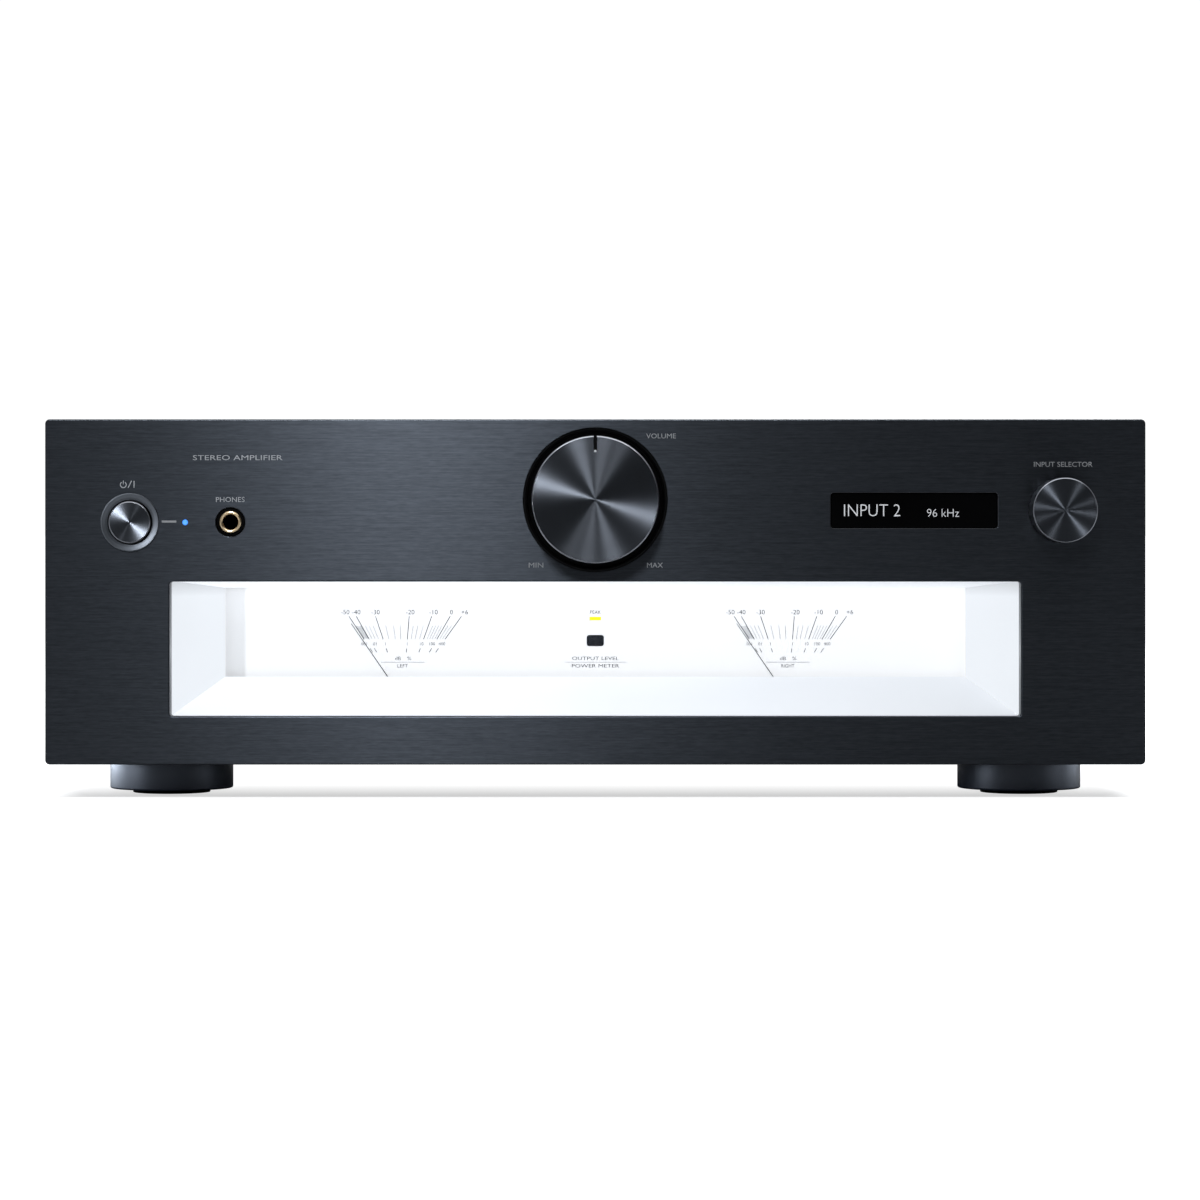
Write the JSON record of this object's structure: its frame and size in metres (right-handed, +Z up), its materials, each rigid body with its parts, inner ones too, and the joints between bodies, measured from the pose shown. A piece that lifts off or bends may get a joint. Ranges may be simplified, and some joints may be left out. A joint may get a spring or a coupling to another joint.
{
  "type": "integrated amplifier",
  "caption": "Full-width stereo integrated amplifier with a large central volume knob, a wide lit twin power meter, a small display, an input selector and round feet.",
  "frame": {"origin": "on the floor, under the centre of the overall box", "axes": "+Z up, the front panel faces -Y, +X is on the right when the front is looked at"},
  "size_m": [0.43, 0.428, 0.148],
  "materials": {
    "panel_black_aluminium": "black anodised, fine horizontal brushing",
    "zinc_steel": "zinc plated sheet, dull",
    "meter_white": "matt white moulding, lit from above",
    "clear_acrylic": "polished clear sheet",
    "dial_white": "white printed plate, lit",
    "circuit_board": "green solder mask",
    "magnet_iron": "dark plated iron",
    "needle_black": "thin black-painted pressing",
    "yellow_lamp": "yellow diffuser, lit",
    "smoked_plastic": "glossy black lens",
    "ring_dark_aluminium": "satin turned, dark grey anodised",
    "spun_grey_aluminium": "spun face with fine turning marks, grey anodised",
    "black_plastic": "fine-textured black moulding",
    "blue_lamp": "blue lamp, lit",
    "gilt_brass": "polished gilt plating",
    "cover_black_steel": "black powder coat with a fine texture",
    "winding_copper": "wound enamelled copper under clear tape",
    "heat_sink_aluminium": "black anodised extrusion",
    "capacitor_sleeve": "shrink sleeve on an aluminium can",
    "foot_dark_grey": "satin dark grey moulding",
    "foot_rubber": "matt black pad",
    "black_screw": "black zinc",
    "terminal_cap_clear_black": "fluted cap with a coloured band"
  },
  "bodies": {
    "amplifier": {"front_panel": "panel_black_aluminium", "front_subpanel": "zinc_steel", "meter_housing": "meter_white", "meter_window": "clear_acrylic", "dial_plate": "dial_white", "meter_light_board": "circuit_board", "left_meter_movement": "magnet_iron", "right_meter_movement": "magnet_iron", "peak_indicator": "yellow_lamp", "remote_sensor_window": "smoked_plastic", "display_window": "smoked_plastic", "display_module": "circuit_board", "power_ring": "ring_dark_aluminium", "power_switch": "black_plastic", "standby_led": "blue_lamp", "phones_jack": "black_plastic", "phones_ring": "gilt_brass", "volume_well": "black_plastic", "volume_pot": "zinc_steel", "selector_encoder": "zinc_steel", "control_board": "circuit_board", "bottom_chassis": "zinc_steel", "top_cover": "cover_black_steel", "shield_partition": "zinc_steel", "rear_panel": "cover_black_steel", "analog_jack_block": "black_plastic", "coax_jack_block": "black_plastic", "optical_sockets": "black_plastic", "mains_inlet": "black_plastic", "speaker_terminal_plate": "black_plastic", "power_transformer": "winding_copper", "amp_board": "circuit_board", "heat_sink": "heat_sink_aluminium", "input_board": "circuit_board", "reservoir_capacitor_front": "capacitor_sleeve", "reservoir_capacitor_rear": "capacitor_sleeve", "foot_front_left": "foot_dark_grey", "foot_pad_front_left": "foot_rubber", "foot_front_right": "foot_dark_grey", "foot_pad_front_right": "foot_rubber", "foot_rear_left": "foot_dark_grey", "foot_pad_rear_left": "foot_rubber", "foot_rear_right": "foot_dark_grey", "foot_pad_rear_right": "foot_rubber", "cover_screw_left_front": "black_screw", "cover_screw_left_rear": "black_screw", "cover_screw_right_front": "black_screw", "cover_screw_right_rear": "black_screw"},
    "volume_control": {"volume_knob": "spun_grey_aluminium", "volume_shaft": "zinc_steel"},
    "input_selector": {"selector_knob": "spun_grey_aluminium", "selector_shaft": "zinc_steel"},
    "standby_button": {"power_button": "spun_grey_aluminium"},
    "left_meter_hand": {"left_needle": "needle_black"},
    "right_meter_hand": {"right_needle": "needle_black"},
    "terminal_cap_right_minus": {"speaker_cap_right_minus": "terminal_cap_clear_black"},
    "terminal_cap_right_plus": {"speaker_cap_right_plus": "terminal_cap_clear_black"},
    "terminal_cap_left_minus": {"speaker_cap_left_minus": "terminal_cap_clear_black"},
    "terminal_cap_left_plus": {"speaker_cap_left_plus": "terminal_cap_clear_black"},
    "earth_screw": {"ground_screw": "gilt_brass"}
  },
  "joints": [
    {"name": "volume_turn", "type": "hinge", "parent": "amplifier", "child": "volume_control", "pos_m": [0, -0.2, 0.1165], "axis": [0, 1, 0], "range_deg": [-140, 140]},
    {"name": "selector_turn", "type": "hinge", "parent": "amplifier", "child": "input_selector", "pos_m": [0.1819, -0.2, 0.1124], "axis": [0, 1, 0], "continuous": true},
    {"name": "standby_press", "type": "slide", "parent": "amplifier", "child": "standby_button", "axis": [0, 1, 0], "range_m": [0, 0.0025], "stiffness_N_per_m": 300, "springref_m": -0.002},
    {"name": "left_needle_swing", "type": "hinge", "parent": "amplifier", "child": "left_meter_hand", "pos_m": [-0.077, -0.1555, 0.0374], "axis": [0, 1, 0], "range_deg": [0, 73]},
    {"name": "right_needle_swing", "type": "hinge", "parent": "amplifier", "child": "right_meter_hand", "pos_m": [0.077, -0.1555, 0.0374], "axis": [0, 1, 0], "range_deg": [0, 73]},
    {"name": "cap_right_minus_turn", "type": "hinge", "parent": "amplifier", "child": "terminal_cap_right_minus", "pos_m": [-0.1165, 0.2, 0.046], "axis": [0, 1, 0], "range_deg": [0, 1440]},
    {"name": "cap_right_plus_turn", "type": "hinge", "parent": "amplifier", "child": "terminal_cap_right_plus", "pos_m": [-0.09745, 0.2, 0.046], "axis": [0, 1, 0], "range_deg": [0, 1440]},
    {"name": "cap_left_minus_turn", "type": "hinge", "parent": "amplifier", "child": "terminal_cap_left_minus", "pos_m": [-0.0415, 0.2, 0.046], "axis": [0, 1, 0], "range_deg": [0, 1440]},
    {"name": "cap_left_plus_turn", "type": "hinge", "parent": "amplifier", "child": "terminal_cap_left_plus", "pos_m": [-0.02245, 0.2, 0.046], "axis": [0, 1, 0], "range_deg": [0, 1440]},
    {"name": "earth_screw_turn", "type": "hinge", "parent": "amplifier", "child": "earth_screw", "pos_m": [0.03, 0.195, 0.096], "axis": [0, 1, 0], "range_deg": [0, 1080]}
  ]
}
